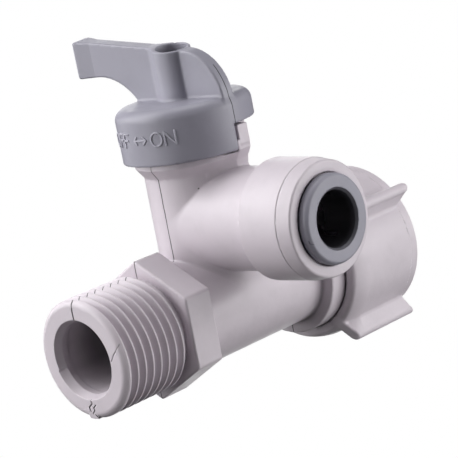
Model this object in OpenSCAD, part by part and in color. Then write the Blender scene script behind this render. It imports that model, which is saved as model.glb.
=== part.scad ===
// Feed-water splitter valve: a straight run with a male thread at one end and a
// winged swivel nut at the other, and a quarter-turn outlet with a push-fit
// tube socket. Millimetres. X is the run axis, from the male thread towards the
// swivel nut, Z is the valve stem axis, and the tube outlet points to -Y.
// The origin is where the run axis and the stem axis cross. The handle is drawn
// open: its lever lies in line with the outlet and turns 90 degrees clockwise
// seen from above to close.

/* [Run] */
// Outer radius of the run tube
run_r = 9.8; // [9:0.1:12]
// Radius of the straight waterway
run_bore_r = 6.45; // [5:0.05:7]
// Distance from the stem axis to the rear face of the hexagon
hex_back = 12.55; // [11:0.05:18]
// Hexagon across its flats
hex_af = 22; // [21:0.5:27]
// Hexagon thickness
hex_len = 6; // [4:0.5:10]
// Distance from the stem axis to the collar
flange_x = 16.9; // [15:0.1:24]
// Collar width
flange_w = 4.05; // [2:0.05:6]
// Collar radius
flange_r = 12.15; // [11:0.05:14]

/* [Male thread] */
// Radius over the thread crests, for a 1/2 inch pipe thread
thread_r = 10.5; // [10:0.05:13.5]
// Thread pitch, 14 per inch
thread_pitch = 1.8143; // [1.2:0.0001:2.4]
// Thread depth
thread_depth = 1.15; // [0.6:0.05:1.4]
// Number of visible crests
thread_crests = 8; // [4:1:10]
// Distance from the thread face to the first crest
thread_lead = 1.35; // [1:0.05:3]
// Length from the hexagon to the thread face
thread_len = 15.6; // [15.2:0.1:22]
// Chamfer of the bore at the thread face
mouth_chamfer = 0.6; // [0:0.1:1]

/* [Stem column] */
// Radius of the column
column_r = 9.2; // [9:0.1:11]
// Height where the column starts to flare
flare_z = 24.6; // [24:0.1:27]
// Step from the bonnet out to the top of the flare
flare_step = 0.2; // [0.1:0.05:0.4]
// Height of the top of the flare
flare_top = 26.4; // [25.5:0.1:27]
// Height of the bonnet top
bonnet_top = 31.8; // [31:0.1:32]
// Bore radius of the plug chamber
chamber_r = 6.3; // [5.5:0.05:7]
// Height of the chamber floor
chamber_z = 8; // [7.6:0.1:8.6]
// Radius of the ports through the plug
port_r = 3.2; // [2:0.05:3.4]

/* [Stop lug] */
// How far the lug's face stands back from the outside of the skirt
lug_back = 0.35; // [0.15:0.05:0.7]
// Near face of the lug base, from the plane of the stem
lug_near = 0; // [0:0.05:0.6]
// Width of the lug base
lug_w = 3.1; // [2.5:0.1:5]
// Height of the top of the lug base
lug_base_z = 29.2; // [28.6:0.1:30]
// Inset of the upper lug from the base, on the open side
lug_inset = 0.5; // [0.2:0.05:1]

/* [Outlet branch] */
// Height of the branch axis
branch_z = 15.2; // [14.8:0.1:16]
// Radius of the branch
branch_r = 9.2; // [9:0.1:10]
// Distance from the stem axis to the socket shoulder
socket_y = 18.6; // [17.5:0.1:22]
// Radius of the socket
socket_r = 10.6; // [10.2:0.05:12]
// Length of the socket
socket_len = 8.55; // [8:0.05:10]
// Bore radius for the tube, 3/8 inch outside
tube_r = 4.9; // [4.85:0.05:5]
// Depth of the tube stop from the stem axis
tube_stop_y = 13; // [12:0.1:14]
// Thickness of the socket cap outside the socket
cap_len = 2.65; // [2.4:0.05:4]
// Radius of the socket cap
cap_r = 10.2; // [10:0.05:11.5]
// Radius of the collet head
collet_head_r = 7.75; // [7:0.05:8.2]
// How far the collet head stands out of the cap
collet_proud = 1.85; // [1.2:0.05:3]
// Travel of the collet when it is pressed
collet_travel = 1; // [0.5:0.1:1]

/* [Swivel nut] */
// Radius of the nut body
nut_r = 14.85; // [14.5:0.05:18]
// Length of the nut
nut_len = 18.35; // [17.5:0.05:24]
// Reach of the wings from the run axis
wing_reach = 18.2; // [17:0.1:24]
// Wing thickness at its rounded tip
wing_tip_w = 2.1; // [1.4:0.1:3]
// Wing thickness at the nut
wing_root_w = 3.9; // [3.2:0.1:5]
// Angle of the first wing from the outlet side, upwards
wing_angle = 36; // [0:1:89]
// Minor radius of the inlet thread
inlet_r = 9.35; // [9:0.05:9.6]

/* [Handle] */
// Outer radius of the skirt
skirt_r = 12.25; // [11.9:0.05:14]
// Skirt wall thickness
skirt_wall = 1.6; // [1:0.05:1.65]
// Height of the lower edge of the skirt
skirt_z = 27.6; // [27.2:0.1:28]
// Height of the top of the skirt window
window_z = 32.2; // [32.1:0.1:33]
// Height of the flat top of the cap
cap_top = 37.2; // [37:0.1:40]
// Rounding of the cap's upper edge
cap_round = 2; // [1:0.1:2.4]
// Radius of the boss over the screw
boss_r = 3.4; // [3.3:0.05:5]
// Radius of the screw well in the boss
well_r = 2.75; // [2.6:0.05:2.9]
// Height of the boss on the stem axis
boss_top = 46.4; // [44:0.1:50]
// Reach of the lever from the stem axis
lever_reach = 23.75; // [20:0.05:34]
// Height of the lever tip
lever_top = 49.25; // [47:0.05:54]
// Lean of the handle's top, up towards the closed side, in degrees
top_lean = 4.5; // [0:0.5:6]
// Height of the underside of the lever tip
lever_under = 42.1; // [40:0.1:44]
// Thickness of the lever web
lever_w = 2.7; // [2:0.1:4]
// Thickness of the lever tip
tip_w = 4.5; // [3:0.1:6]
// Thickness of the fin
fin_w = 2.8; // [2:0.1:3.4]
// Radius of the fin outline
fin_round = 9.5; // [8:0.1:9.8]
// How far the fin's edge stands back from the outside of the skirt
fin_back = 0.45; // [0.3:0.05:1]
// Length of the flat underside at the lever tip
tip_len = 4.5; // [3:0.1:6]

/* [Clearances] */
// Running clearance of the plug and its stem, radial
run_clear = 0.08; // [0.03:0.01:0.1]
// Gap between parts that turn past each other
turn_gap = 0.3; // [0.2:0.05:0.5]
// Gap between the bonnet and the inside of the skirt
skirt_gap = 0.45; // [0.3:0.05:0.6]
// Gap between parts that are pushed together
seat_gap = 0.05; // [0.02:0.01:0.1]

/* [Hidden] */
$fn = 96;
e = 0.01;

// How far joined solids run into each other, and cuts past a face
lap = 1;

// Run, from left to right
hex_front = -hex_back - hex_len;
thread_face = hex_front - thread_len;
hex_r = hex_af / sqrt(3);
flange_end = flange_x + flange_w;
crest_w = 0.26;
thread_root = thread_r - thread_depth;
thread_first = thread_face + thread_lead;
nose_round = 0.9;
mouth_run = 0.5;

// Swivel joint
tail_wall = 1.95;
tail_r = run_bore_r + tail_wall;
nut_x = flange_end + turn_gap;
nut_web = 3.2;
nut_round = 0.8;
ring_x = nut_x + nut_web + turn_gap;
ring_w = 1.1;
ring_depth = 0.9;
ring_groove_r = tail_r - ring_depth;
ring_r = tail_r + 1;
ring_gap_w = 2.4;
tail_past_ring = 1.5;
tail_end = ring_x + ring_w + tail_past_ring;
seal_t = 2;
inlet_groove = 1.05;
nut_relief_r = inlet_r + inlet_groove;
inlet_lead = 0.6;
inlet_x = tail_end + seal_t + inlet_lead;
inlet_first = inlet_x + 1.3;
inlet_half = 0.8;
inlet_root = 0.12;
inlet_mouth = 1.2;
nut_end = nut_x + nut_len;
lip_w = 2.3;
lip_step = 0.25;
lip_bevel = 0.5;
wing_lead = 1.35;
wing_x = nut_x + wing_lead;
wing_spread = 0.6;

// Plug and bonnet
skirt_in = skirt_r - skirt_wall;
bonnet_r = skirt_in - skirt_gap;
flare_r = bonnet_r + flare_step;
flare_rim = 0.7;
bonnet_wall = 2.3;
gland_r = bonnet_r - bonnet_wall;
drum_r = chamber_r - run_clear;
drum_z = chamber_z + 0.2;
drum_len = 16.2;
drum_top = drum_z + drum_len;
washer_t = 0.5;
washer_in = 0.3;
gland_z = drum_top + washer_t + turn_gap;
stem_r = 4.4;
stem_top = 30.6;
drive_w = 6;
drive_top = 34.4;
drive_fit = 0.1;
ring_top = 29.6;
slot_w = 1.6;
slot_deep = 1.2;
o_sec = 0.56;
o_ring_r = chamber_r - 0.04 - o_sec;
groove_w = 1.5;
groove_r = o_ring_r - o_sec - 0.02;
low_ring_z = drum_z + 1.45;
ring_over_port = 6.6;
top_ring_z = branch_z + ring_over_port;
seat_in = port_r + 0.1;
seat_out = port_r + 1.4;
seat_y = chamber_r + 2.1;

// Stop lug
lug_reach = skirt_r - lug_back;
lug_root = chamber_r + 2.4;
lug_base_reach = lug_reach - 0.1;
lug_slope_z = flare_top + 1.05;
lug_waist_z = flare_top - 0.6;
lug_waist_reach = column_r + 1.6;
lug_foot_z = branch_z + branch_r - lap;
lug_foot_reach = column_r + 1.3;

// Handle
cap_wall = 2.5;
ceiling = cap_top - cap_wall;
hub_r = 5.4;
hub_z = stem_top + turn_gap;
floor_z = drive_top + 2;
screw_r = 1.45;
screw_hole_r = screw_r + 0.15;
screw_head_r = well_r - 0.25;
screw_head_h = 1.1;
screw_dome = 0.6;
screw_dome_in = 0.7;
screw_len = 9.8;
screw_point = 0.5;
recess_w = 0.7;
recess_len = 3;
arch_y = lever_reach - tip_len;
arch_over_skirt = 4.65;
arch_r = arch_y - skirt_r + arch_over_skirt;
arch_z = lever_under - arch_r - 0.1;
lever_rise = (lever_top - boss_top) / lever_reach;
tip_flare = 3.8;
tip_round = 0.6;
tip_bevel = 0.4;
fin_y = fin_round + fin_back - skirt_r;
fin_z = boss_top + lever_rise * fin_y - fin_round;

// Tube socket, measured from the stem axis along the branch
socket_end = socket_y + socket_len;
cap_face = socket_end + cap_len;
cap_edge = 0.6;
dish_depth = 0.3;
dish_rim = 1;
gland_y = socket_y + 0.4;
oring_sec = 0.9;
tube_seal_r = tube_r + oring_sec;
packing_r = tube_seal_r + oring_sec + seat_gap;
gland_len = 3.8;
step_y = gland_y + gland_len;
sleeve_bore = 8.4;
grab_t = 0.3;
tooth_root = tube_r + 1.5;
tooth_lean = 0.65;
tooth_slot = 0.6;
spacer_len = 1.05;
spacer_y = step_y - 0.85;
collet_head_y = cap_face + turn_gap;
collet_face = cap_face + collet_proud;
collet_in = step_y + grab_t + collet_travel + 0.1;
collet_out_r = tube_r + 1.6;
collet_bevel = 0.45;
collet_bevel_len = 0.55;
collet_mouth = 0.45;
finger_slot = 0.8;
finger_len = 3.4;
lip_r = collet_out_r + 0.5;
lip_len = 1.3;
lip_lead = 0.4;
shoulder_y = collet_in + lip_len + turn_gap;
recess_y = collet_head_y - collet_travel - 0.4;
recess_r = collet_head_r + turn_gap;

// Colours
white = [0.83, 0.80, 0.81];
grey = [0.58, 0.59, 0.62];
black = [0.08, 0.08, 0.085];
steel = [0.75, 0.76, 0.78];

// A round bar along X, from a to b
module bar_x(r, a, b) { translate([a, 0, 0]) rotate([0, 90, 0]) cylinder(r = r, h = b - a); }

// A round bar along the branch, from a to b out from the stem axis
module bar_y(r, a, b) { translate([0, -a, branch_z]) rotate([90, 0, 0]) cylinder(r = r, h = b - a); }

// A round bar along Z, from a to b
module bar_z(r, a, b) { translate([0, 0, a]) cylinder(r = r, h = b - a); }

// Turns an outline of radius and distance about the run axis
module turned_x() { rotate([0, 90, 0]) rotate_extrude() children(); }

// Turns an outline of radius and distance about the branch axis
module turned_y() { translate([0, 0, branch_z]) rotate([90, 0, 0]) rotate_extrude() children(); }

// The thread's outline: a root bar and one ridge for each crest
module thread_outline() {
    half = (thread_pitch - crest_w) / 2;
    translate([0, thread_face]) square([thread_root, thread_len + lap]);
    for (i = [0:thread_crests - 1]) {
        x = thread_first + i * thread_pitch;
        polygon([[thread_root - lap, x - half], [thread_root, x - half], [thread_r, x - crest_w / 2],
                 [thread_r, x + crest_w / 2], [thread_root, x + half], [thread_root - lap, x + half]]);
    }
    // Rounded nose
    intersection() {
        union() {
            translate([0, thread_face + nose_round]) square([thread_r, lap]);
            translate([0, thread_face]) square([thread_r - nose_round, nose_round + e]);
            translate([thread_r - nose_round, thread_face + nose_round]) circle(r = nose_round, $fn = 48);
        }
        translate([0, thread_face]) square([thread_r, thread_lead]);
    }
}

// The stop lug beside the bonnet, with its sloped base
module stop_lug() {
    translate([lug_near, 0, 0]) rotate([90, 0, 90]) linear_extrude(lug_w)
        polygon([[-lug_root, lug_foot_z], [-lug_foot_reach, lug_foot_z], [-lug_waist_reach, lug_waist_z],
                 [-lug_base_reach, lug_slope_z], [-lug_base_reach, lug_base_z], [-lug_root, lug_base_z]]);
    translate([lug_near + lug_inset, -lug_reach, lug_base_z - lap])
        cube([lug_w - lug_inset, lug_reach - lug_root, bonnet_top - lug_base_z + lap]);
}

module valve_body() color(white) difference() {
    union() {
        turned_x() thread_outline();
        translate([hex_front, 0, 0]) rotate([0, 90, 0]) cylinder(r = hex_r, h = hex_len, $fn = 6);
        bar_x(run_r, hex_front + lap, flange_x + lap);
        bar_x(flange_r, flange_x, flange_end);
        bar_x(tail_r, flange_end - lap, tail_end);
        bar_z(column_r, 0, flare_z);
        translate([0, 0, flare_z]) cylinder(r1 = column_r, r2 = flare_r, h = flare_top - flare_z);
        bar_z(flare_r, flare_top, flare_top + flare_rim);
        bar_z(bonnet_r, flare_top, bonnet_top);
        stop_lug();
        bar_y(branch_r, 0, socket_y + lap);
        bar_y(socket_r, socket_y, socket_end);
    }
    // Waterway through the run, with its chamfered mouth
    bar_x(run_bore_r, thread_face - lap, tail_end + lap);
    translate([thread_face - e, 0, 0]) rotate([0, 90, 0])
        cylinder(r1 = run_bore_r + mouth_chamfer, r2 = run_bore_r, h = mouth_chamfer + mouth_run);
    // Groove of the retaining ring
    difference() {
        bar_x(tail_r + lap, ring_x - seat_gap, ring_x + ring_w + seat_gap);
        bar_x(ring_groove_r, ring_x - lap, ring_x + ring_w + lap);
    }
    // Plug chamber, its port from the run and the bonnet's thread
    bar_z(port_r, 0, chamber_z + lap);
    bar_z(chamber_r, chamber_z, bonnet_top);
    bar_z(gland_r, gland_z, bonnet_top + lap);
    // Port seat, tube stop, packing and cap bore along the branch
    bar_y(seat_out + seat_gap, 0, seat_y);
    bar_y(port_r, 0, tube_stop_y + lap);
    bar_y(tube_r, tube_stop_y, gland_y + lap);
    bar_y(packing_r, gland_y, step_y + lap);
    bar_y(sleeve_bore, step_y, socket_end + lap);
}

// One wing of the nut, drawn across the run and pulled along it
module wing() {
    translate([wing_x, 0, 0]) rotate([90, 0, 90]) linear_extrude(nut_end - wing_x) union() {
        polygon([[-wing_root_w / 2 - wing_spread, nut_r - lap], [-wing_root_w / 2, nut_r],
                 [-wing_tip_w / 2, wing_reach - wing_tip_w / 2],
                 [wing_tip_w / 2, wing_reach - wing_tip_w / 2],
                 [wing_root_w / 2, nut_r], [wing_root_w / 2 + wing_spread, nut_r - lap]]);
        translate([0, wing_reach - wing_tip_w / 2]) circle(r = wing_tip_w / 2, $fn = 32);
    }
}

module nut_outline() {
    lip_r = nut_r - lip_step;
    difference() {
        union() {
            translate([0, nut_x + nut_round]) square([nut_r, nut_len - lip_w - nut_round]);
            translate([0, nut_x]) square([nut_r - nut_round, nut_round + e]);
            translate([nut_r - nut_round, nut_x + nut_round]) circle(r = nut_round, $fn = 48);
            translate([0, nut_end - lip_w]) square([lip_r, lip_w - lip_bevel + e]);
            polygon([[0, nut_end - lip_bevel], [lip_r, nut_end - lip_bevel],
                     [lip_r - lip_bevel, nut_end], [0, nut_end]]);
        }
        // Bore over the tail, relief for the ring and washer, inlet thread
        translate([-lap, nut_x - lap]) square([tail_r + turn_gap + lap, nut_len + 2 * lap]);
        translate([0, nut_x + nut_web]) square([nut_relief_r, inlet_x - nut_x - nut_web]);
        translate([0, inlet_x - lap]) square([inlet_r, nut_len]);
        for (i = [0:4]) {
            x = inlet_first + i * thread_pitch;
            deep = inlet_r + thread_depth - seat_gap;
            if (x < nut_end - inlet_mouth - inlet_half / 4)
                polygon([[inlet_r - lap, x - inlet_half], [inlet_r, x - inlet_half],
                         [deep, x - inlet_root], [deep, x + inlet_root],
                         [inlet_r, x + inlet_half], [inlet_r - lap, x + inlet_half]]);
        }
        polygon([[0, nut_end - inlet_mouth], [inlet_r, nut_end - inlet_mouth],
                 [inlet_r + inlet_mouth, nut_end + e], [0, nut_end + e]]);
    }
}

module swivel_nut() color(white) difference() {
    union() {
        turned_x() nut_outline();
        for (k = [0:3]) rotate([90 * (k + 1) - wing_angle, 0, 0]) wing();
    }
    bar_x(nut_relief_r, nut_x + nut_web + lap, inlet_x - e);
}

module nut_retaining_ring() color(steel) difference() {
    bar_x(ring_r, ring_x, ring_x + ring_w);
    bar_x(ring_groove_r + seat_gap, ring_x - lap, ring_x + ring_w + lap);
    translate([ring_x - lap, -ring_gap_w / 2, -ring_r - lap])
        cube([ring_w + 2 * lap, ring_gap_w, ring_r + lap]);
}

module inlet_seal() color(black) difference() {
    bar_x(inlet_r + turn_gap, tail_end, tail_end + seal_t);
    bar_x(run_bore_r, tail_end - lap, tail_end + seal_t + lap);
}

// Outline of the lever seen from the side, Y across and Z up
module lever_side() {
    difference() {
        polygon([[0, ceiling + lap], [0, lever_top + lap], [lever_reach, lever_top + lap],
                 [lever_reach, lever_under], [lever_reach - lap, lever_under], [arch_y, ceiling + lap]]);
        translate([arch_y, arch_z]) circle(r = arch_r);
        translate([arch_y, ceiling]) square([lever_reach, lever_under - ceiling]);
    }
}

// What lies above the sloping top of the lever, boss and fin
module above_slope() {
    translate([0, 0, boss_top]) rotate([0, -top_lean, 0]) translate([0, 0, -boss_top])
        rotate([90, 0, 90]) translate([0, 0, -boss_r - lap]) linear_extrude(2 * (boss_r + lap))
        polygon([[-skirt_r, boss_top - lever_rise * skirt_r],
                 [lever_reach + skirt_r, lever_top + lever_rise * skirt_r],
                 [lever_reach + skirt_r, lever_top + skirt_r], [-skirt_r, lever_top + skirt_r]]);
}

// Outline of the lever seen from above, X across and Y forward
module lever_plan() {
    web = lever_w / 2;
    tip = tip_w / 2;
    polygon([[-web, 0], [web, 0], [web, lever_reach - tip_flare], [tip, lever_reach - tip_round],
             [tip - tip_bevel, lever_reach + tip_round], [tip_bevel - tip, lever_reach + tip_round],
             [-tip, lever_reach - tip_round], [-web, lever_reach - tip_flare]]);
}

// Outline of the fin seen from the side
module fin_side() {
    intersection() {
        union() {
            translate([fin_y, fin_z]) circle(r = fin_round);
            translate([fin_y - fin_round, ceiling]) square([fin_round, fin_z - ceiling + e]);
            translate([fin_y, ceiling]) square([-fin_y, fin_z + fin_round - ceiling]);
        }
        translate([fin_y - fin_round, ceiling]) square([fin_round - fin_y, fin_round + fin_z - ceiling + e]);
    }
}

module handle() color(grey) difference() {
    union() {
        difference() {
            // Cap with its rounded upper edge
            rotate_extrude() difference() {
                union() {
                    translate([0, skirt_z]) square([skirt_r, cap_top - cap_round - skirt_z]);
                    translate([0, cap_top - cap_round - e]) square([skirt_r - cap_round, cap_round + e]);
                    translate([skirt_r - cap_round, cap_top - cap_round]) circle(r = cap_round, $fn = 64);
                }
                translate([-lap, skirt_z - lap]) square([skirt_in + lap, ceiling - skirt_z + lap]);
            }
            // Window of the skirt: a quarter turn plus the width of the lug
            translate([lug_near - turn_gap, -skirt_r - lap, skirt_z - lap])
                cube([skirt_r + 2 * lap, skirt_r + lap + lug_near + lug_w + turn_gap,
                      window_z - skirt_z + lap]);
        }
        bar_z(hub_r, hub_z, ceiling + e);
        bar_z(boss_r, ceiling, lever_top);
        intersection() {
            rotate([90, 0, 90]) translate([0, 0, -tip_w]) linear_extrude(2 * tip_w) lever_side();
            translate([0, 0, ceiling]) linear_extrude(lever_top) lever_plan();
        }
        rotate([90, 0, 90]) translate([0, 0, -fin_w / 2]) linear_extrude(fin_w) fin_side();
    }
    above_slope();
    // Screw well, screw hole and the square socket for the stem
    bar_z(well_r, floor_z, lever_top);
    bar_z(screw_hole_r, hub_z - lap, floor_z + lap);
    square_w = drive_w + 2 * drive_fit;
    translate([-square_w / 2, -square_w / 2, hub_z - lap])
        cube([square_w, square_w, drive_top + drive_fit - hub_z + lap]);
}

module handle_screw() color(steel) difference() {
    head_z = floor_z + screw_head_h;
    point_z = floor_z - screw_len;
    union() {
        bar_z(screw_head_r, floor_z, head_z);
        translate([0, 0, head_z - e])
            cylinder(r1 = screw_head_r, r2 = screw_head_r - screw_dome_in, h = screw_dome);
        bar_z(screw_r, point_z + lap, floor_z + e);
        translate([0, 0, point_z]) cylinder(r1 = screw_point, r2 = screw_r, h = lap + e);
    }
    // Cross recess
    for (a = [0, 90]) rotate([0, 0, a]) translate([-recess_len / 2, -recess_w / 2, floor_z + recess_w])
        cube([recess_len, recess_w, screw_head_h + lap]);
}

module spindle() color(white) difference() {
    union() {
        bar_z(drum_r, drum_z, drum_top);
        bar_z(stem_r, drum_top - lap, stem_top);
        translate([-drive_w / 2, -drive_w / 2, stem_top - lap])
            cube([drive_w, drive_w, drive_top - stem_top + lap]);
    }
    // The port turns from below to the outlet side
    bar_z(port_r, drum_z - lap, branch_z);
    bar_y(port_r, 0, drum_r + lap);
    translate([0, 0, branch_z]) sphere(r = port_r);
    // Pilot hole of the screw and the grooves of the rings
    bar_z(screw_r + seat_gap, floor_z - screw_len - 0.4, drive_top + lap);
    for (z = [low_ring_z, top_ring_z]) difference() {
        bar_z(drum_r + lap, z - groove_w / 2, z + groove_w / 2);
        bar_z(groove_r, z - groove_w, z + groove_w);
    }
}

// A rubber ring of round section about the stem axis
module o_ring(r, sec, z) {
    translate([0, 0, z]) rotate_extrude() translate([r, 0]) circle(r = sec, $fn = 48);
}

module spindle_o_ring_upper() color(black) o_ring(o_ring_r, o_sec, top_ring_z);

module spindle_o_ring_lower() color(black) o_ring(o_ring_r, o_sec, low_ring_z);

module port_seat() color(black) difference() {
    bar_y(seat_out, 2, seat_y);
    bar_y(seat_in, 0, seat_y + lap);
    bar_z(chamber_r - run_clear / 2, 0, gland_z);
}

module bonnet_ring() color(white) difference() {
    bar_z(gland_r - seat_gap, gland_z, ring_top);
    bar_z(stem_r + run_clear, gland_z - lap, ring_top + lap);
    for (a = [0, 90]) rotate([0, 0, a]) translate([-gland_r, -slot_w / 2, ring_top - slot_deep])
        cube([2 * gland_r, slot_w, slot_deep + lap]);
}

module thrust_washer() color(black) difference() {
    bar_z(drum_r - washer_in, drum_top, drum_top + washer_t);
    bar_z(stem_r + run_clear, drum_top - lap, drum_top + washer_t + lap);
}

// Outline of the cap: its rim outside the socket and its sleeve inside it
module cap_outline() {
    difference() {
        union() {
            translate([0, socket_end]) square([cap_r, cap_len - cap_edge]);
            translate([0, cap_face - cap_edge - e]) square([cap_r - cap_edge, cap_edge + e]);
            translate([cap_r - cap_edge, cap_face - cap_edge]) circle(r = cap_edge, $fn = 48);
            translate([0, step_y + grab_t])
                square([sleeve_bore - seat_gap, socket_end - step_y - grab_t + e]);
        }
        translate([-lap, step_y]) square([collet_out_r + turn_gap + lap, cap_face - step_y + lap]);
        translate([-lap, step_y]) square([lip_r + turn_gap + lap, shoulder_y - step_y]);
        translate([0, recess_y]) square([recess_r, cap_face]);
        polygon([[0, cap_face - dish_depth], [recess_r, cap_face - dish_depth],
                 [cap_r - cap_edge - dish_rim, cap_face + e], [0, cap_face + e]]);
    }
}

module socket_cap() color(white) turned_y() cap_outline();

module tube_collet() color(grey) difference() {
    turned_y() difference() {
        union() {
            translate([0, collet_in]) square([collet_out_r, collet_head_y - collet_in + e]);
            polygon([[0, collet_in], [lip_r - lip_lead, collet_in], [lip_r, collet_in + lip_lead],
                     [lip_r, collet_in + lip_len], [0, collet_in + lip_len]]);
            polygon([[0, collet_head_y], [collet_head_r, collet_head_y],
                     [collet_head_r, collet_face - collet_bevel_len],
                     [collet_head_r - collet_bevel, collet_face], [0, collet_face]]);
        }
        translate([-lap, collet_in - lap]) square([tube_r + lap, collet_face]);
        polygon([[0, collet_face - collet_mouth], [tube_r, collet_face - collet_mouth],
                 [tube_r + collet_mouth, collet_face + e], [0, collet_face + e]]);
    }
    // Slots between the spring fingers
    for (a = [45, 135]) translate([0, 0, branch_z]) rotate([0, a, 0])
        translate([-lip_r - lap, -collet_in - finger_len, -finger_slot / 2])
        cube([2 * (lip_r + lap), finger_len + lap, finger_slot]);
}

module grab_ring() color(steel) difference() {
    union() {
        bar_y(sleeve_bore - seat_gap, step_y, step_y + grab_t);
        // Teeth lean inwards, towards the tube stop
        turned_y() polygon([[tooth_root, step_y + grab_t], [tube_r, step_y + grab_t - tooth_lean],
                            [tube_r, step_y - tooth_lean], [tooth_root, step_y]]);
    }
    turned_y() polygon([[0, step_y - 2 * lap], [tube_r, step_y - 2 * lap],
                        [tube_r, step_y + grab_t - tooth_lean], [tooth_root, step_y + grab_t],
                        [tooth_root, step_y + lap], [0, step_y + lap]]);
    for (a = [0:30:150]) translate([0, -step_y, branch_z]) rotate([0, a, 0])
        translate([-tooth_root, -2 * lap, -tooth_slot / 2]) cube([2 * tooth_root, 4 * lap, tooth_slot]);
}

module tube_spacer() color(white) difference() {
    bar_y(packing_r - seat_gap, spacer_y - spacer_len, spacer_y);
    bar_y(tube_r, gland_y, step_y + lap);
}

module tube_o_ring() color(black) turned_y()
    translate([tube_seal_r, gland_y + oring_sec + seat_gap]) circle(r = oring_sec, $fn = 48);

valve_body();
swivel_nut();
nut_retaining_ring();
inlet_seal();
handle();
handle_screw();
spindle();
spindle_o_ring_upper();
spindle_o_ring_lower();
port_seat();
bonnet_ring();
thrust_washer();
socket_cap();
tube_collet();
grab_ring();
tube_spacer();
tube_o_ring();
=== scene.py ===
import math

import bpy
import numpy as np
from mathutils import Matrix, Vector


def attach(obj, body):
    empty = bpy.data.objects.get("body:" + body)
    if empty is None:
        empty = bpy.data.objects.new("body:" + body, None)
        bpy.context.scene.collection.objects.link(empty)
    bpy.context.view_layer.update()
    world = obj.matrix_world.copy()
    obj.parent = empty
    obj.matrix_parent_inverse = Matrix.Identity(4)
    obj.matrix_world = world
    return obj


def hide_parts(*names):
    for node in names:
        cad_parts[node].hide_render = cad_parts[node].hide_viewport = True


# The looks of the splitter valve. Shapes are distance fields in millimetres, in
# the frame of the CAD model, turned into meshes in metres. A field is below zero
# inside its shape. Where a side slopes, its field is multiplied by about the
# cosine of the slope, so that it stays near a true distance.

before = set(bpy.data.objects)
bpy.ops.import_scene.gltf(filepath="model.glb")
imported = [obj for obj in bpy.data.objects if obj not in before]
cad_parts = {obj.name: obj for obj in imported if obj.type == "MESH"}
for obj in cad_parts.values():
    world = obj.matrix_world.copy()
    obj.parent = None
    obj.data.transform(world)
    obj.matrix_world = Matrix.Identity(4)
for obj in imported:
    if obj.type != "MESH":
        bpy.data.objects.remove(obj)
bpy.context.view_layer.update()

MM = 0.001

# How far a form runs into its neighbour, or a cut past its opening
LAP = 1.0

# Further than any two points of the part are apart
FAR = 99.0

# Run, along X, with half the flats on a crest and in a root of the thread
THREAD_FACE = -34.15
FACE_R = 9.3
NOSE_LEN = 0.93
NOSE_BEND = 0.55
CREST_R = 10.5
ROOT_R = 9.35
PITCH = 1.8143
THREAD_START = -33.54
THREAD_TURNS = 8.0
RIDGE_TURNS = THREAD_TURNS - 0.05
RIDGE_FADE = 0.3
GROOVE_FADE = 0.15
THREAD_END = -18.35
CREST_HALF = 0.13
ROOT_HALF = 0.07
MOUTH_R = 7.05
MOUTH_LEN = 1.35
SKIN_START = -31.87
TAB_LOW = 174.0
TAB_HIGH = 191.0
TAB_RISE = 0.8
TAB_FALL = 5.0
TAB_DEPTH = 0.1
HEX_FRONT = -18.55
HEX_BACK = -12.55
HEX_HALF = 11.0
HEX_ROUND = 0.35
RUN_R = 9.8
COLLAR_X = 16.9
COLLAR_END = 20.95
COLLAR_R = 12.15
TAIL_R = 8.4
TAIL_END = 27.35
RING_X = 24.7
RING_END = 25.9
RING_R = TAIL_R - 0.9
BORE_R = 6.45

# Stem column, along Z
COLUMN_FOOT_Z = -4.0
COLUMN_FOOT_R = 9.36
COLUMN_R = 9.15
FLARE_Z = 24.6
FLARE_TOP = 26.4
FLARE_EDGE = 0.2
FLARE_BACK = 1.1
FLARE_SLOPE = 0.84
FLARE_R = 10.4
BONNET_R = 10.2
BONNET_TOP = 31.8
CHAMBER_R = 6.3
CHAMBER_Z = 8.0
GLAND_R = 7.9
GLAND_Z = 25.2
PORT_R = 3.2

# Stop lug
LUG_X = 0.0
LUG_W = 3.1
LUG_REACH = 11.9
LUG_BASE_Z = 29.2
LUG_FOOT_Z = 23.4
LUG_LEVELS = [LUG_FOOT_Z, 24.4, 25.8, 27.45, LUG_BASE_Z]
LUG_REACHES = [10.5, 10.55, 10.8, 11.85, 11.85]
LUG_FLARE_X = -4.95
LUG_FLARE = 0.546
LUG_FLARE_Z = 27.25
LUG_INSET = 0.5
LUG_ROOT = 8.7
LUG_BACK = LUG_ROOT - 2.5
LUG_SLOPE = 0.85

# Outlet branch, along -Y
BRANCH_Z = 15.2
BRANCH_R = 9.2
SOCKET_Y = 18.6
SOCKET_END = 27.15
SOCKET_FOOT_R = 10.65
SOCKET_DRAFT = 0.2
CAP_FACE = 30.0
CAP_LAP = 0.3
CAP_R = 10.36
CAP_RIM_R = 9.95
DISH_R = 8.6
DISH_DEPTH = 0.12
DISH_SLOPE = 0.7
RECESS_R = 7.88
RECESS_Y = 28.7
TUBE_R = 4.9
TUBE_STOP = 13.0
GLAND_Y = 19.0
PACKING_R = 6.75
STEP_Y = 22.8
GRAB_T = 0.3
SLEEVE_R = 8.4
COLLET_IN = 24.2
COLLET_R = 6.5
LIP_R = 7.0
LIP_LEN = 1.3
COLLET_HEAD_Y = 29.75
COLLET_FACE = 31.65
COLLET_HEAD_R = 7.75
COLLET_MOUTH = 0.45
COLLET_GAP = 0.3
BEVEL = 0.45
BEVEL_SIDE = 0.774
BEVEL_FRONT = 0.633
SLOT_HALF = 0.4
SLOT_LEN = 3.4
SEAT_OUT = 4.6
SEAT_Y = 8.4

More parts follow.
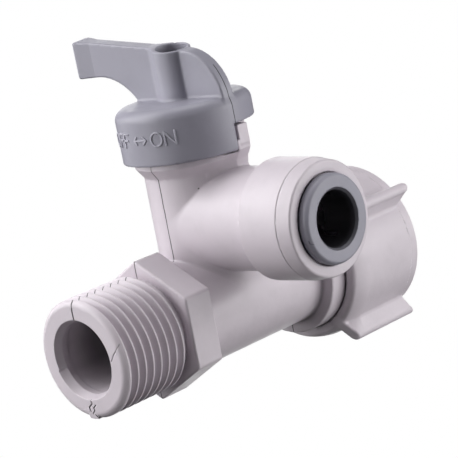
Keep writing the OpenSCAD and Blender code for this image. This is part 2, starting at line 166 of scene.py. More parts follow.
# Swivel nut
NUT_X = 21.25
NUT_END = 39.6
NUT_R = 14.85
NUT_RIM_X = 20.6
NUT_RIM_ROUND = 0.6
NUT_FALL = 0.75
NUT_SHOULDER_X = 24.3
NUT_WEB_END = 24.45
NUT_COLLAR_GAP = 0.14
NUT_TAIL_GAP = 0.3
RELIEF_R = 10.4
RELIEF_END = 29.95
INLET_R = 9.35
INLET_ROOT_R = 10.45
INLET_TURNS = 4.95
INLET_MOUTH = 0.35
INLET_MOUTH_LEN = 1.2
LIP_X = 37.3
LIP_STEP = 0.25
WING_REACH = 18.2
WING_IN = 11.0
WING_FOOT = NUT_R - 1
WING_START = NUT_RIM_X + 0.15
WING_LEAN = 0.45
WING_LEAN_FROM = NUT_R - 0.8
WING_END = 39.35
WING_END_LEAN = 0.55
WING_TIP_W = 2.1
WING_ROOT_W = 4.5
WING_GROWTH = [NUT_RIM_X + 1.4, NUT_RIM_X + 4]
WING_SLOPE = 0.88
WING_ANGLE = 36.0

# Handle
SKIRT_R = 12.25
SKIRT_IN = 10.65
SKIRT_Z = 27.6
WINDOW_Z = 32.2
WINDOW_X = -0.3
WINDOW_Y = 3.8
SKIRT_TOP = 37.2
SKIRT_ROUND = 2.0
CEILING = 34.7
HUB_R = 5.4
HUB_Z = 30.9
BOSS_R = 3.4
BOSS_TOP = 46.4
BOSS_BLEND = 1.8
BOSS_BACK_BLEND = 0.3
BLEND_Y = [-0.5, 1.5]
TOP_LEAN = 0.079
TOP_SLOPE = 0.99
WELL_R = 2.75
WELL_Z = 36.4
SCREW_HOLE_R = 1.6
SQUARE_HALF = 3.1
SQUARE_TOP = 34.5
LEVER_REACH = 23.75
LEVER_RISE = 0.12
LEVER_TOP = 49.25
LEVER_UNDER = 42.1
LEVER_W = 2.7
LEVER_TIP_W = 4.2
TIP_FLARE = 3.8
ARCH_R = 11.65
ARCH_Y = 19.25
FIN_W = 2.8
FIN_Y = -11.8
FIN_TOP = 46.02
FIN_ROUND = 9.5

# Marks that the mould has left: lines on the thread's face and the collet's rim, as
# points across and up, the burr round the bore's mouth, from one place to another in
# degrees from the top, and a pit
SPLIT_MARK = [(0, 7), (0, 8.6), (-0.2, 10.3)]
GATE_MARKS = [[(0.1, -7.3), (-0.05, -7.8), (0.85, -8.5), (0.6, -9.2)],
              [(-0.9, -8), (-0.3, -8.5), (-0.4, -8.95), (0.2, -9.6)],
              [(-0.4, -9.7), (-1.1, -10.3)]]
CHIP_MARK = [(-9.95, 3.8), (-9.6, 2.9), (-9, 2.1), (-8.3, 1.45), (-7.4, 0.25)]
COLLET_TICK = [(-7.45, -1.75), (-7.3, -2.25), (-6.8, -2.5)]
MARK_HALF = 0.16
MARK_DEPTH = 0.12
BURR_LOW = 180.0
BURR_HIGH = 251.0
BURR_R = [0.1, 0.32]
PIT = (-6.4, -6.7, 22.3)
PIT_R = 0.22

# Lettering on the skirt, with the left edge of each sign along it
STROKE = 0.33
RELIEF = 0.17
TEXT_LOW = 31.2
TEXT_HIGH = 33.55
OFF_LEFT = [8.05, 5.4, 3.55]
ARROW_LEFT = 0.65
ON_LEFT = [-3.2, -5.85]
O_WIDTH = 2.1
F_WIDTH = 1.35
N_WIDTH = 1.9
ARROW_WIDTH = 2.75
ARROW_HEAD = 0.62

# Boxes about the skins, as low and high corners, and the cells of their grids
BODY_BOX = [(SKIN_START, -28.23, -14), (28.4, 13.2, 32.9)]
BODY_CELL = 0.4
NUT_BOX = [(20.2, -19.43, -19.43), (40.7, 19.4, 19.4)]
NUT_CELL = 0.36
CAP_BOX = [(-11.5, -30.8, 3.8), (11.5, -21.8, 26.8)]
CAP_CELL = 0.35
COLLET_BOX = [(-8.9, -32.4, 6.4), (8.9, -23.2, 24.2)]
COLLET_CELL = 0.3
HANDLE_BOX = [(-13.4, -13.4, 26.5), (13.4, 25.7, 50.1)]
HANDLE_CELL = 0.35
SIGNS_BOX = [(-13.0, -9.2, 30.6), (-5.6, 9.6, 34.3)]
SIGNS_CELL = 0.13

# Steps across which slopes are measured, to settle corners and to shade them
SETTLE_STEP = 0.01
SHADE_STEP = 0.06

# Parts that the threaded end's face and nose are divided into, and each turn of the
# inlet's thread
FACE_STEPS = 28
NOSE_STEPS = 14
INLET_STEPS = 120

# Colours
WHITE = (0.65, 0.592, 0.643)
GREY = (0.304, 0.296, 0.352)
# Lighter grey for the raised letters: a painted highlight standing in for light on their edges
SIGN_HIGHLIGHT_GREY = (0.42, 0.41, 0.475)
RUBBER_DARK = (0.012, 0.012, 0.013)
RUBBER_LIGHT = (0.03, 0.03, 0.032)
STEEL_DARK = (0.5, 0.5, 0.51)
STEEL_LIGHT = (0.62, 0.62, 0.63)

# Stage, with the camera fitted to the photograph, its turns in degrees
CAMERA_AT = (-219.6886, -231.9894, 78.6627)
CAMERA_TURNS = (78.055, 10.8351, -46.4142)
LENS = 143.018
SENSOR = 36.0
PART_MIDDLE = (0, 0, 10)
LIGHT_R = 420.0
FLOOR_Z = -70.0
FLOOR_HALF = 3000.0


# Distance fields


def hollow_min(a, b, r):
    """The union of two fields with a fillet of radius r."""
    return np.maximum(r, np.minimum(a, b)) - np.hypot(np.maximum(r - a, 0), np.maximum(r - b, 0))


def round_max(a, b, r):
    """The common part of two fields with its edges rounded by r."""
    return np.minimum(-r, np.maximum(a, b)) + np.hypot(np.maximum(r + a, 0), np.maximum(r + b, 0))


def cut(a, b, r=0.15):
    """Field a without field b, its edges rounded by r."""
    return round_max(a, -b, r)


def slab(t, low, high):
    """The space between two planes, where t is the place across them."""
    return np.abs(t - (low + high) / 2) - (high - low) / 2


def rod(off, along, radius, low, high, edge=0.2):
    """A round bar: off is the distance from its axis."""
    return round_max(off - radius, slab(along, low, high), edge)


def thread_radius(x, a):
    """Radius of the male thread at x and at the angle a from the top, with its nose,
    the gate's tab below it and the fading ends of the groove and of the ridge."""
    part = a / (2 * np.pi)
    degrees = np.degrees(a)
    turned = (x - THREAD_START) / PITCH - part
    ridge = np.round(turned)
    off = np.abs(turned - ridge) * PITCH
    rise = np.clip((PITCH / 2 - ROOT_HALF - off) / (PITCH / 2 - ROOT_HALF - CREST_HALF), 0, 1)
    rise *= np.clip((RIDGE_TURNS - ridge - part) / RIDGE_FADE, 0, 1)
    rise = np.maximum(rise, np.where(turned < 0, np.clip((1 - part) / GROOVE_FADE, 0, 1), 0))
    bend = NOSE_BEND * np.clip((x - THREAD_FACE) / NOSE_LEN, 0, 1)
    swell = np.sqrt(bend * (2 - bend)) / math.sqrt(NOSE_BEND * (2 - NOSE_BEND))
    tab = np.clip((degrees - TAB_LOW) / TAB_RISE, 0, 1) * np.clip((TAB_HIGH - degrees) / TAB_FALL, 0, 1)
    nose = np.maximum(swell, tab * np.clip((x - THREAD_FACE) / TAB_DEPTH, 0, 1))
    return np.minimum(ROOT_R + (CREST_R - ROOT_R) * rise, FACE_R + (CREST_R - FACE_R) * nose)


def hexagon(x, y, z):
    """Three pairs of flats about the run, one pair of them across Y."""
    sides = np.abs(y) - HEX_HALF
    for turn in (60, -60):
        c, s = math.cos(math.radians(turn)), math.sin(math.radians(turn))
        sides = round_max(sides, np.abs(c * y + s * z) - HEX_HALF, HEX_ROUND)
    return round_max(sides, slab(x, HEX_FRONT, HEX_BACK), 0.25)


def column(off, z):
    """The stem column, its flare and the rim above."""
    levels = [COLUMN_FOOT_Z, FLARE_Z, FLARE_TOP, FLARE_TOP + FLARE_EDGE, FLARE_TOP + FLARE_BACK]
    side = off - np.interp(z, levels, [COLUMN_FOOT_R, COLUMN_R, FLARE_R, FLARE_R, BONNET_R])
    near = [FLARE_Z - 0.1, FLARE_Z + 0.1, FLARE_TOP - 0.1, FLARE_TOP + 0.1]
    side = side * np.interp(z, near, [1, FLARE_SLOPE, FLARE_SLOPE, 1])
    return round_max(side, slab(z, 0, BONNET_TOP), 0.3)


def lug_base(x, y, z):
    """The stop lug below the skirt, with the part that widens towards the column."""
    reach = np.interp(z, LUG_LEVELS, LUG_REACHES) + LUG_FLARE * np.minimum(x - LUG_X, 0)
    base = round_max((-y - reach) * LUG_SLOPE, slab(z, LUG_FOOT_Z, LUG_BASE_Z), 0.15)
    base = round_max(base, LUG_BACK + y, 0.1)
    wide = round_max(slab(x, LUG_FLARE_X, LUG_X + LUG_W), z - LUG_FLARE_Z, 0.15)
    return round_max(base, np.minimum(slab(x, LUG_X, LUG_X + LUG_W), wide), 0.2)


def lug_top(x, y, z):
    """The stop lug in the skirt's window."""
    upper = round_max(slab(-y, LUG_ROOT, LUG_REACH), slab(z, LUG_BASE_Z - LAP, BONNET_TOP), 0.2)
    return round_max(upper, slab(x, LUG_X + LUG_INSET, LUG_X + LUG_W), 0.2)


def branch(off, out):
    """The branch and the tapered socket at its end."""
    tube = rod(off, out, BRANCH_R, 0, SOCKET_Y + LAP, 0.1)
    socket_r = SOCKET_FOOT_R - SOCKET_DRAFT * (out - SOCKET_Y) / (SOCKET_END - SOCKET_Y)
    socket = round_max(off - socket_r, slab(out, SOCKET_Y, SOCKET_END), 0.2)
    return np.minimum(tube, socket)


def valve_body_field(x, y, z):
    """The body without its threaded end: run, column, branch, hexagon and collar, then
    the bores and seats, each about its own axis."""
    off_x = np.hypot(y, z)
    off_z = np.hypot(x, y)
    off_y = np.hypot(x, z - BRANCH_Z)
    out = -y
    run = rod(off_x, x, RUN_R, HEX_FRONT + LAP, COLLAR_X + LAP, 0.1)
    d = hollow_min(run, column(off_z, z), 0.35)
    d = hollow_min(d, branch(off_y, out), 0.25)
    d = hollow_min(d, hexagon(x, y, z), 0.2)
    d = hollow_min(d, rod(off_x, x, COLLAR_R, COLLAR_X, COLLAR_END, 0.35), 0.3)
    d = np.minimum(d, rod(off_x, x, TAIL_R, COLLAR_END - LAP, TAIL_END, 0.2))
    d = np.minimum(d, rod(off_x, x, ROOT_R - 0.1, THREAD_FACE, HEX_FRONT + LAP, 0.1))
    d = hollow_min(d, lug_base(x, y, z), 0.3)
    d = hollow_min(d, lug_top(x, y, z), 0.15)
    d = cut(d, off_x - BORE_R, 0.15)
    groove = np.maximum(slab(x, RING_X, RING_END), RING_R - off_x)
    d = np.where(x > COLLAR_END, cut(d, groove, 0.05), d)
    d = cut(d, rod(off_z, z, PORT_R, 0, CHAMBER_Z + LAP))
    d = cut(d, rod(off_z, z, CHAMBER_R, CHAMBER_Z, BONNET_TOP + 2 * LAP))
    d = cut(d, rod(off_z, z, GLAND_R, GLAND_Z, BONNET_TOP + 2 * LAP))
    d = cut(d, rod(off_y, out, SEAT_OUT, 0, SEAT_Y))
    d = cut(d, rod(off_y, out, PORT_R, 0, TUBE_STOP + LAP))
    d = cut(d, rod(off_y, out, TUBE_R, TUBE_STOP, GLAND_Y + LAP))
    d = cut(d, rod(off_y, out, PACKING_R, GLAND_Y, STEP_Y + LAP))
    return cut(d, rod(off_y, out, SLEEVE_R, STEP_Y, SOCKET_END + 2 * LAP))


def wing(x, y, z, angle):
    """A tapered wing of the nut, at an angle in degrees from -Y towards Z."""
    c, s = math.cos(math.radians(angle)), math.sin(math.radians(angle))
    up, side = -y * c + z * s, np.abs(y * s + z * c)
    tip = WING_REACH - WING_TIP_W / 2
    root = np.interp(x, WING_GROWTH, [WING_TIP_W / 2, WING_ROOT_W / 2])
    taper = np.clip((up - WING_FOOT) / (tip - WING_FOOT), 0, 1)
    half = root + (WING_TIP_W / 2 - root) * taper
    web = np.maximum(side - half, np.maximum(up - tip, WING_IN - up))
    end = np.hypot(up - tip, side) - WING_TIP_W / 2
    start = WING_START + WING_LEAN * np.maximum(up - WING_LEAN_FROM, 0) - x
    finish = x - WING_END + WING_END_LEAN * np.maximum(WING_REACH - up, 0)
    return round_max(np.minimum(web, end), np.maximum(start, finish) * WING_SLOPE, 0.35)


def nut_field(x, y, z):
    """The swivel nut: a barrel that falls off at its near end, a lip and four wings."""
    off = np.hypot(y, z)
    fall = np.clip((NUT_SHOULDER_X - x) / (NUT_SHOULDER_X - NUT_RIM_X), 0, 1)
    side = off - NUT_R + NUT_FALL * fall * fall
    barrel = np.maximum(round_max(side, NUT_RIM_X - x, NUT_RIM_ROUND), x - LIP_X)
    lip = rod(off, x, NUT_R - LIP_STEP, LIP_X - LAP, NUT_END, 0.45)
    d = hollow_min(barrel, lip, 0.1)
    for k in range(4):
        d = hollow_min(d, wing(x, y, z, WING_ANGLE + 90 * k), 0.5)
    d = cut(d, rod(off, x, COLLAR_R + NUT_COLLAR_GAP, NUT_X - 2 * LAP, NUT_X))
    d = cut(d, rod(off, x, TAIL_R + NUT_TAIL_GAP, NUT_X - 2 * LAP, NUT_END + 2 * LAP))
    d = cut(d, rod(off, x, RELIEF_R, NUT_WEB_END, RELIEF_END + LAP))
    mouth = np.clip((x - NUT_END + INLET_MOUTH_LEN) / INLET_MOUTH_LEN, 0, 1)
    inlet = INLET_ROOT_R + INLET_MOUTH * mouth
    return cut(d, np.maximum(off - inlet, RELIEF_END - x), 0.15)


def grip_top(x, y, z):
    """The sloping plane over the lever, the boss and the fin."""
    return (z - BOSS_TOP - LEVER_RISE * y - TOP_LEAN * x) * TOP_SLOPE


def lever(x, y, z):
    """The lever, arched underneath and wider at its tip."""
    arch_z = LEVER_UNDER - ARCH_R
    arch = np.where(y < ARCH_Y, ARCH_R - np.hypot(y - ARCH_Y, z - arch_z), LEVER_UNDER - z)
    d = round_max(grip_top(x, y, z), y - LEVER_REACH, 0.4)
    d = round_max(d, arch, 0.6)
    d = np.maximum(d, np.maximum(-y, CEILING - z))
    flare = [LEVER_REACH - TIP_FLARE, LEVER_REACH - 0.4, LEVER_REACH]
    half = np.interp(y, flare, [LEVER_W / 2, LEVER_TIP_W / 2, LEVER_TIP_W / 2 - 0.05])
    return round_max(d, np.abs(x) - half, 0.3)


def fin(x, y, z):
    """The fin behind the boss, with a round shoulder."""
    a, b = FIN_Y - y + FIN_ROUND, z - FIN_TOP + FIN_ROUND
    outline = np.minimum(np.maximum(a, b), 0) + np.hypot(np.maximum(a, 0), np.maximum(b, 0)) - FIN_ROUND
    outline = round_max(outline, grip_top(x, y, z), 0.1)
    outline = np.maximum(outline, np.maximum(y, CEILING - z))
    return round_max(outline, np.abs(x) - FIN_W / 2, 0.3)


def handle_field(x, y, z):
    """The handle: skirt with its window, hub, lever, fin and boss, then the well, the
    screw's hole and the square for the spindle."""
    off = np.hypot(x, y)
    d = rod(off, z, SKIRT_R, SKIRT_Z - 5 * LAP, SKIRT_TOP, SKIRT_ROUND)
    d = round_max(d, SKIRT_Z - z, 0.2)
    d = cut(d, rod(off, z, SKIRT_IN, SKIRT_Z - 3 * LAP, CEILING, 0.3), 0.2)
    window = np.maximum(np.maximum(WINDOW_X - x, y - WINDOW_Y), z - WINDOW_Z)
    d = cut(d, window, 0.2)
    d = np.minimum(d, rod(off, z, HUB_R, HUB_Z, CEILING + LAP))
    grip = hollow_min(lever(x, y, z), fin(x, y, z), 0.2)
    boss = round_max(rod(off, z, BOSS_R, CEILING, LEVER_TOP), grip_top(x, y, z), 0.25)
    grip = hollow_min(grip, boss, np.interp(y, BLEND_Y, [BOSS_BACK_BLEND, BOSS_BLEND]))
    grip = round_max(grip, grip_top(x, y, z), 0.3)
    d = hollow_min(d, grip, 0.5)
    d = cut(d, rod(off, z, WELL_R, WELL_Z, LEVER_TOP + 2 * LAP), 0.2)
    d = cut(d, rod(off, z, SCREW_HOLE_R, HUB_Z - 2 * LAP, WELL_Z + LAP))
    square = np.maximum(np.abs(x), np.abs(y)) - SQUARE_HALF
    return cut(d, np.maximum(square, slab(z, HUB_Z - 2 * LAP, SQUARE_TOP)))


def stroke(s, z, points):
    """Distance from a line through points, each along and up in millimetres."""
    d = np.full(np.shape(s), FAR)
    for (a, b), (c, e) in zip(points, points[1:]):
        span = max((c - a) ** 2 + (e - b) ** 2, 1e-9)
        t = np.clip(((s - a) * (c - a) + (z - b) * (e - b)) / span, 0, 1)
        d = np.minimum(d, np.hypot(s - a - t * (c - a), z - b - t * (e - b)))
    return d


def letter_o(s, z, left, width):
    middle, half = (TEXT_LOW + TEXT_HIGH) / 2, (TEXT_HIGH - TEXT_LOW) / 2
    ring = [(left - width / 2 + width / 2 * math.cos(a), middle + half * math.sin(a))
            for a in np.linspace(0, 2 * math.pi, 25)]
    return stroke(s, z, ring)


def letter_n(s, z, left, width):
    right = left - width
    return stroke(s, z, [(left, TEXT_LOW), (left, TEXT_HIGH), (right, TEXT_LOW), (right, TEXT_HIGH)])


def letter_f(s, z, left, width):
    middle = TEXT_LOW + (TEXT_HIGH - TEXT_LOW) * 0.52
    d = stroke(s, z, [(left, TEXT_LOW), (left, TEXT_HIGH), (left - width, TEXT_HIGH)])
    return np.minimum(d, stroke(s, z, [(left, middle), (left - width * 0.85, middle)]))


def double_arrow(s, z, left, width):
    middle, right = (TEXT_LOW + TEXT_HIGH) / 2, left - width
    d = stroke(s, z, [(left, middle), (right, middle)])
    for tip, back in [(left, left - ARROW_HEAD), (right, right + ARROW_HEAD)]:
        head = [(back, middle + ARROW_HEAD), (tip, middle), (back, middle - ARROW_HEAD)]
        d = np.minimum(d, stroke(s, z, head))
    return d


def signs_field(x, y, z):
    """OFF, a double arrow and ON, raised on the skirt."""
    s = SKIRT_R * np.arctan2(y, -x)
    d = double_arrow(s, z, ARROW_LEFT, ARROW_WIDTH)
    for left in (OFF_LEFT[0], ON_LEFT[0]):
        d = np.minimum(d, letter_o(s, z, left, O_WIDTH))
    for left in OFF_LEFT[1:]:
        d = np.minimum(d, letter_f(s, z, left, F_WIDTH))
    d = np.minimum(d, letter_n(s, z, ON_LEFT[1], N_WIDTH))
    skin = slab(np.hypot(x, y), SKIRT_R - 0.15, SKIRT_R + RELIEF)
    return round_max(d - STROKE / 2, skin, 0.07)


def cap_field(x, y, z):
    """The socket cap: a tapered rim with a dished face, and a sleeve in the socket."""
    off, out = np.hypot(x, z - BRANCH_Z), -y
    side = off - np.interp(out, [SOCKET_END, CAP_FACE], [CAP_R, CAP_RIM_R])
    rim = np.maximum(round_max(side, out - CAP_FACE, 0.4), SOCKET_END - CAP_LAP - out)
    sleeve = rod(off, out, SLEEVE_R - 0.05, STEP_Y + GRAB_T, SOCKET_END + LAP, 0.15)
    d = np.minimum(rim, sleeve)
    d = cut(d, rod(off, out, COLLET_R + COLLET_GAP, STEP_Y - LAP, CAP_FACE + 2 * LAP))
    d = cut(d, rod(off, out, LIP_R + COLLET_GAP, STEP_Y - LAP, COLLET_IN + LIP_LEN + COLLET_GAP))
    d = cut(d, rod(off, out, RECESS_R, RECESS_Y, CAP_FACE + 2 * LAP), 0.1)
    fall = np.clip((DISH_R - off) / (DISH_R - RECESS_R), 0, 1)
    dish = CAP_FACE - DISH_DEPTH * np.sin(fall * np.pi / 2) - out
    return cut(d, dish * DISH_SLOPE, 0.3)


def collet_field(x, y, z):
    """The collet: four fingers with a lip, and a bevelled head."""
    off, out = np.hypot(x, z - BRANCH_Z), -y
    d = rod(off, out, COLLET_R, COLLET_IN, COLLET_HEAD_Y + 0.5, 0.1)
    d = np.minimum(d, rod(off, out, LIP_R, COLLET_IN, COLLET_IN + LIP_LEN, 0.35))
    head = rod(off, out, COLLET_HEAD_R, COLLET_HEAD_Y, COLLET_FACE, 0.15)
    bevel = (off - COLLET_HEAD_R + BEVEL) * BEVEL_SIDE + (out - COLLET_FACE) * BEVEL_FRONT
    d = np.minimum(d, round_max(head, bevel, 0.15))
    mouth = TUBE_R + COLLET_MOUTH * np.clip((out - COLLET_FACE + COLLET_MOUTH) / COLLET_MOUTH, 0, 1)
    d = cut(d, off - mouth, 0.05)
    for turn in (1, -1):
        gap = np.abs(x + turn * (z - BRANCH_Z)) * math.sqrt(0.5) - SLOT_HALF
        d = cut(d, np.maximum(gap, out - COLLET_IN - SLOT_LEN), 0.05)
    return d


# Meshing


def gradient(field, p, step):
    """The field's slope at the points p, along each axis."""
    g = np.empty_like(p)
    for a in range(3):
        q = p.copy()
        q[:, a] += step
        high = field(*q.T)
        q[:, a] -= 2 * step
        g[:, a] = (high - field(*q.T)) / (2 * step)
    return g


def net(field, low, high, cell):
    """Corners and quads of the field's surface, on a grid of the given cell size."""
    count = [int(math.ceil((end - start) / cell)) + 1 for start, end in zip(low, high)]
    axes = [start + cell * np.arange(n) for start, n in zip(low, count)]
    d = field(*np.meshgrid(*axes, indexing="ij"))
    shape = np.array(d.shape)
    stride = np.array([shape[1] * shape[2], shape[2], 1])
    total = np.zeros((d.size, 3))
    hits = np.zeros(d.size)
    quads = []
    for a in range(3):
        b, c = (a + 1) % 3, (a + 2) % 3
        head = [slice(None)] * 3
        tail = [slice(None)] * 3
        head[a], tail[a] = slice(0, -1), slice(1, None)
        d0, d1 = d[tuple(head)], d[tuple(tail)]
        i = np.argwhere((d0 < 0) != (d1 < 0))
        i = i[(i[:, b] > 0) & (i[:, c] > 0)]
        v0, v1 = d0[tuple(i.T)], d1[tuple(i.T)]
        point = np.array([ax[k] for ax, k in zip(axes, i.T)]).T
        point[:, a] += cell * v0 / (v0 - v1)
        base = i @ stride
        ring = [base - stride[b] - stride[c], base - stride[c], base, base - stride[b]]
        for cells in ring:
            for k in range(3):
                total[:, k] += np.bincount(cells, point[:, k], d.size)
            hits += np.bincount(cells, minlength=d.size)
        q = np.stack(ring, 1)
        q[v0 >= 0] = q[v0 >= 0][:, ::-1]
        quads.append(q)
    quads = np.concatenate(quads)
    used = np.flatnonzero(hits)
    number = np.full(d.size, -1)
    number[used] = np.arange(len(used))
    return total[used] / hits[used, None], number[quads]


def settle(field, points, cell):
    """Moves the corners onto the surface, each by no more than a cell."""
    p = points.copy()
    for _ in range(4):
        g = gradient(field, p, SETTLE_STEP)
        step = field(*p.T)[:, None] * g / np.maximum((g * g).sum(1, keepdims=True), 0.25)
        p -= np.clip(step, -cell / 2, cell / 2)
    return points + np.clip(p - points, -cell, cell)


def new_mesh(name, points, faces, normals=None):
    """A mesh object from corners in millimetres."""
    mesh = bpy.data.meshes.new(name)
    faces = np.asarray(faces)
    mesh.vertices.add(len(points))
    mesh.vertices.foreach_set("co", (np.asarray(points) * MM).ravel())
    mesh.loops.add(faces.size)
    mesh.loops.foreach_set("vertex_index", faces.ravel().astype(np.int32))
    mesh.polygons.add(len(faces))
    mesh.polygons.foreach_set("loop_start", np.arange(0, faces.size, faces.shape[1], dtype=np.int32))
    mesh.update(calc_edges=True)
    mesh.validate()
    mesh.shade_smooth()
    if normals is not None:
        mesh.normals_split_custom_set_from_vertices(normals)
    obj = bpy.data.objects.new(name, mesh)
    bpy.context.scene.collection.objects.link(obj)
    return obj


def shape(name, field, box, cell):
    """The field's surface as a mesh object, shaded by the field's own slope."""
    points, quads = net(field, *box, cell)
    points = settle(field, points, cell)
    g = gradient(field, points, SHADE_STEP)
    g /= np.maximum(np.linalg.norm(g, axis=1, keepdims=True), 1e-6)
    return new_mesh(name, points, quads, g)


def big_face_normals(points, faces):
    """Corner normals that lean to the larger faces, so that narrow bevels carry the bend."""
    p = np.asarray(points)
    f = np.asarray(faces)
    across = np.cross(p[f[:, 2]] - p[f[:, 0]], p[f[:, 3]] - p[f[:, 1]])
    total = np.zeros_like(p)
    for k in range(4):
        np.add.at(total, f[:, k], across)
    return total / np.maximum(np.linalg.norm(total, axis=1, keepdims=True), 1e-9)


def wound(name, angles, along, radius):
    """A surface about the run axis, from the places and radii of each angle's outline."""
    a = angles[:, None]
    points = np.stack([along, -radius * np.sin(a), radius * np.cos(a)], -1).reshape(-1, 3)
    rows, n = along.shape
    o = (np.arange(rows - 1)[:, None] * n + np.arange(n - 1)).ravel()
    faces = np.stack([o, o + n, o + n + 1, o + 1], 1)
    return new_mesh(name, points, faces, big_face_normals(points, faces))


def both_sides(half):
    """The values of half mirrored about 0."""
    return np.concatenate([-half[::-1], half])


def thread_degrees():
    """Degrees about the run from the top, closer together at the marks on the face."""
    fine = np.arange(-8, 8.1, 0.4)
    near = [fine[fine > 0], fine + 80, fine + 180, 360 + fine[fine < 0]]
    return np.unique(np.concatenate([np.arange(0, 361, 1.5), *near]).round(3))


def mouth_outline(degrees):
    """Places and radii along the bore's widened mouth, with its burr, and across the face
    with its marks."""
    angles = np.radians(degrees)[:, None]
    lapped = SKIN_START - THREAD_FACE + 0.27
    depth = np.array([lapped, MOUTH_LEN + 0.04, MOUTH_LEN - 0.02, 0.9, 0.5, 0.12, 0.05, 0.01, 0])
    radius = np.interp(depth, [0.1, MOUTH_LEN], [MOUTH_R - 0.05, BORE_R - 0.01])
    radius[-3:] = MOUTH_R - 0.03, MOUTH_R + 0.01, MOUTH_R + 0.06
    burr = np.interp(degrees, [BURR_LOW - 4, BURR_LOW, BURR_HIGH, BURR_HIGH + 1], [0, *BURR_R, 0])[:, None]
    radius = radius + burr * np.clip(1 - depth / MOUTH_LEN, 0, 1)
    edge = radius[:, -1:]
    face = edge + (FACE_R - 0.03 - edge) * np.linspace(0.03, 1, FACE_STEPS)
    radius = np.hstack([radius, face])
    along = np.tile(THREAD_FACE + np.append(depth, np.zeros(FACE_STEPS)), (len(angles), 1))
    for points in [SPLIT_MARK, CHIP_MARK, *GATE_MARKS]:
        off = stroke(-radius * np.sin(angles), radius * np.cos(angles), points)
        along += MARK_DEPTH * np.clip(1 - off / MARK_HALF, 0, 1)
    return along, radius


def thread_outline(degrees):
    """Places and radii along the rounded nose and the thread, with steps at its edges."""
    angles = np.radians(degrees)[:, None]
    nose = THREAD_FACE + NOSE_LEN * np.linspace(0, 1, NOSE_STEPS) ** 1.5
    edges = both_sides(np.array([CREST_HALF, CREST_HALF + 0.05, 0.5, PITCH / 2 - ROOT_HALF]))
    crests = THREAD_START + PITCH * (np.arange(-1, THREAD_TURNS + 1) + angles / (2 * np.pi))
    ridges = (crests[:, :, None] + edges).reshape(len(angles), -1)
    along = np.sort(np.hstack([np.tile(nose, (len(angles), 1)), ridges]), axis=1)
    along = np.clip(along, THREAD_FACE, THREAD_END)
    return along, thread_radius(along, angles)


def threaded_end(name):
    """The bore's mouth, the face, the rounded nose and the male thread."""
    degrees = thread_degrees()
    inner_x, inner_r = mouth_outline(degrees)
    outer_x, outer_r = thread_outline(degrees)
    return wound(name, np.radians(degrees), np.hstack([inner_x, outer_x]), np.hstack([inner_r, outer_r]))


def inlet_thread(name):
    """The ridge that winds inside the nut and fades into its wall at both ends."""
    angles = np.linspace(0, 2 * np.pi * INLET_TURNS, int(INLET_STEPS * INLET_TURNS) + 1)
    edges = both_sides(np.array([CREST_HALF, CREST_HALF + 0.05, PITCH / 2 - ROOT_HALF, PITCH / 2]))
    half_rise = np.array([1, 0.93, 0, 0])
    rise = np.append(half_rise[::-1], half_rise)
    along = RELIEF_END - 0.4 + PITCH * angles[:, None] / (2 * np.pi) + edges
    ends = [RELIEF_END + 0.2, RELIEF_END + 0.9, NUT_END - 1.6, NUT_END - 0.6]
    wall = INLET_ROOT_R + 0.02
    fade = INLET_R + np.interp(along, ends, [1, 0, 0, 1]) * (wall + 0.18 - INLET_R)
    radius = np.maximum(wall - (wall - INLET_R) * rise, fade)
    return wound(name, angles, along[:, ::-1], radius[:, ::-1])


# Materials


def nodes_of(name):
    """A new material, its node tree and its shader."""
    material = bpy.data.materials.new(name)
    material.use_nodes = True
    tree = material.node_tree
    return material, tree, tree.nodes["Principled BSDF"]


def noise(tree, scale, detail=3.0, rough=0.5):
    """Noise in the part's own frame, its scale in waves for each metre."""
    coord = tree.nodes.new("ShaderNodeTexCoord")
    n = tree.nodes.new("ShaderNodeTexNoise")
    n.inputs["Scale"].default_value = scale
    n.inputs["Detail"].default_value = detail
    n.inputs["Roughness"].default_value = rough
    tree.links.new(coord.outputs["Object"], n.inputs["Vector"])
    return n.outputs["Fac"]


def ramp(tree, source, stops):
    """Colours that blend between stops, each a place from 0 to 1 and a colour."""
    r = tree.nodes.new("ShaderNodeValToRGB")
    r.color_ramp.elements[0].position, r.color_ramp.elements[0].color = stops[0][0], (*stops[0][1], 1)
    r.color_ramp.elements[1].position, r.color_ramp.elements[1].color = stops[-1][0], (*stops[-1][1], 1)
    for at, colour in stops[1:-1]:
        r.color_ramp.elements.new(at).color = (*colour, 1)
    tree.links.new(source, r.inputs["Fac"])
    return r.outputs["Color"]


def bump(tree, source, height, under=None):
    """Normals for a relief of the given height in metres, on top of those of under."""
    b = tree.nodes.new("ShaderNodeBump")
    b.inputs["Strength"].default_value = 1.0
    b.inputs["Distance"].default_value = height
    tree.links.new(source, b.inputs["Height"])
    if under is not None:
        tree.links.new(under, b.inputs["Normal"])
    return b.outputs["Normal"]


def compute(tree, what, *inputs):
    """A Math node: each input is a number or another node's output."""
    m = tree.nodes.new("ShaderNodeMath")
    m.operation = what
    for socket, value in zip(m.inputs, inputs):
        if isinstance(value, (int, float)):
            socket.default_value = value
        else:
            tree.links.new(value, socket)
    return m.outputs["Value"]


def distance(tree, *parts):
    """The length of the line that has these parts along the axes."""
    total = 0.0
    for part in parts:
        total = compute(tree, "ADD", compute(tree, "POWER", part, 2.0), total)
    return compute(tree, "SQRT", total)


def place(tree):
    """X, Y and Z of the shaded point, in the part's own frame."""
    coord = tree.nodes.new("ShaderNodeTexCoord")
    split = tree.nodes.new("ShaderNodeSeparateXYZ")
    tree.links.new(coord.outputs["Object"], split.inputs["Vector"])
    return split.outputs["X"], split.outputs["Y"], split.outputs["Z"]


def falling(tree, value, near, far):
    """1 where value is below near, 0 above far, both in millimetres."""
    m = tree.nodes.new("ShaderNodeMapRange")
    m.interpolation_type = "SMOOTHSTEP"
    for key, number in {"From Min": near * MM, "From Max": far * MM, "To Min": 1.0, "To Max": 0.0}.items():
        m.inputs[key].default_value = number
    tree.links.new(value, m.inputs["Value"])
    return m.outputs["Result"]


